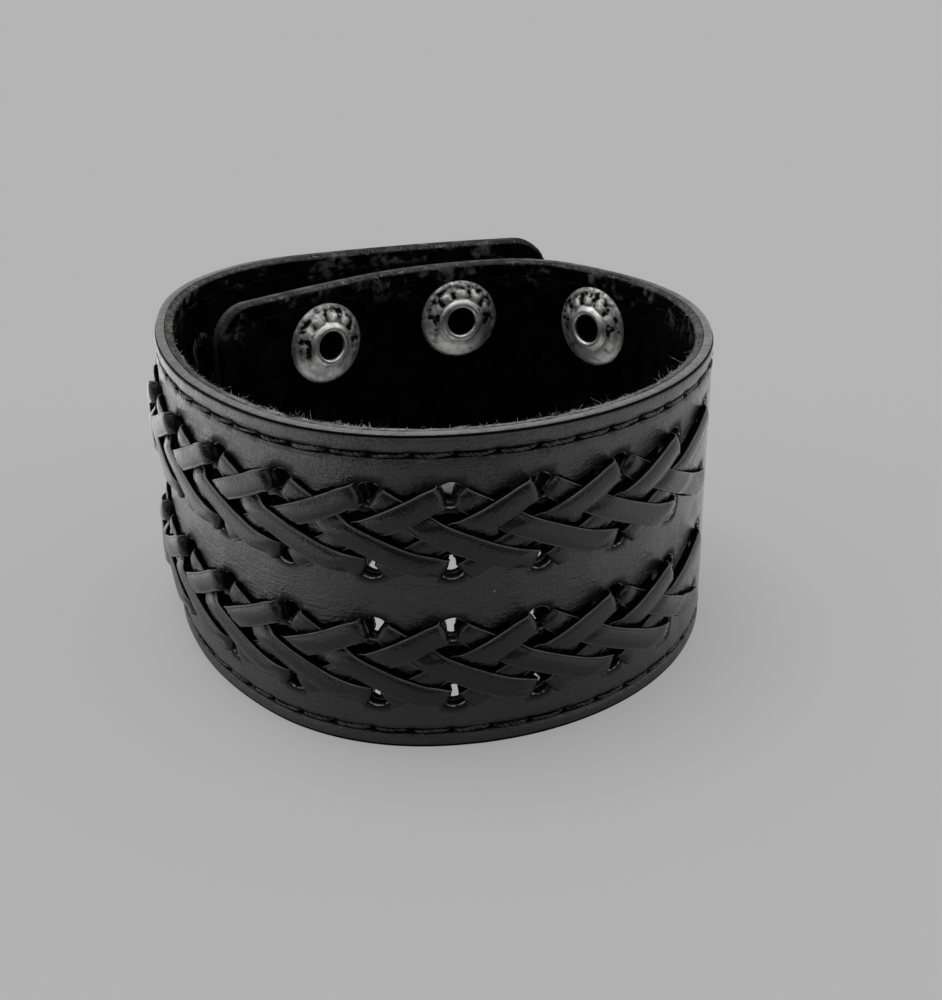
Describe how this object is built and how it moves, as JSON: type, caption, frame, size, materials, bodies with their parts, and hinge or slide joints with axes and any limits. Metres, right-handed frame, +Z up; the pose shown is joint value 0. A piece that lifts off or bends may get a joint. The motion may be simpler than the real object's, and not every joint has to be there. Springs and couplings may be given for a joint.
{
  "type": "braided leather cuff bracelet",
  "caption": "Wide leather cuff bracelet with woven flat laces round the outside and a suede lining, fastened in a loop by ring snaps at the back.",
  "frame": {"origin": "middle of the cuff's bounding box in plan, at the level of the lower edge it stands on", "axes": "+Z up along the height of the cuff, the wrist goes through along Z; -Y is the front, opposite the snap fastening; +X is the cuff's right seen from the front"},
  "size_m": [0.0716, 0.0768, 0.0398],
  "materials": {
    "smooth_leather": "satin",
    "suede": "matte napped",
    "lace_leather": "satin",
    "snap_metal": "worn nickel plate"
  },
  "bodies": {
    "root": {"outer_leather": "smooth_leather", "suede_lining": "suede", "lace_upper_rising": "lace_leather", "lace_upper_falling": "lace_leather", "lace_lower_rising": "lace_leather", "lace_lower_falling": "lace_leather", "eyelet_upper_1": "snap_metal", "eyelet_upper_2": "snap_metal", "eyelet_upper_3": "snap_metal", "eyelet_lower_1": "snap_metal", "eyelet_lower_2": "snap_metal", "eyelet_lower_3": "snap_metal", "stud_upper_1": "snap_metal", "stud_upper_2": "snap_metal", "stud_upper_3": "snap_metal", "stud_lower_1": "snap_metal", "stud_lower_2": "snap_metal", "stud_lower_3": "snap_metal", "socket_upper": "snap_metal", "socket_lower": "snap_metal", "cap_upper": "snap_metal", "cap_lower": "snap_metal"}
  },
  "joints": []
}
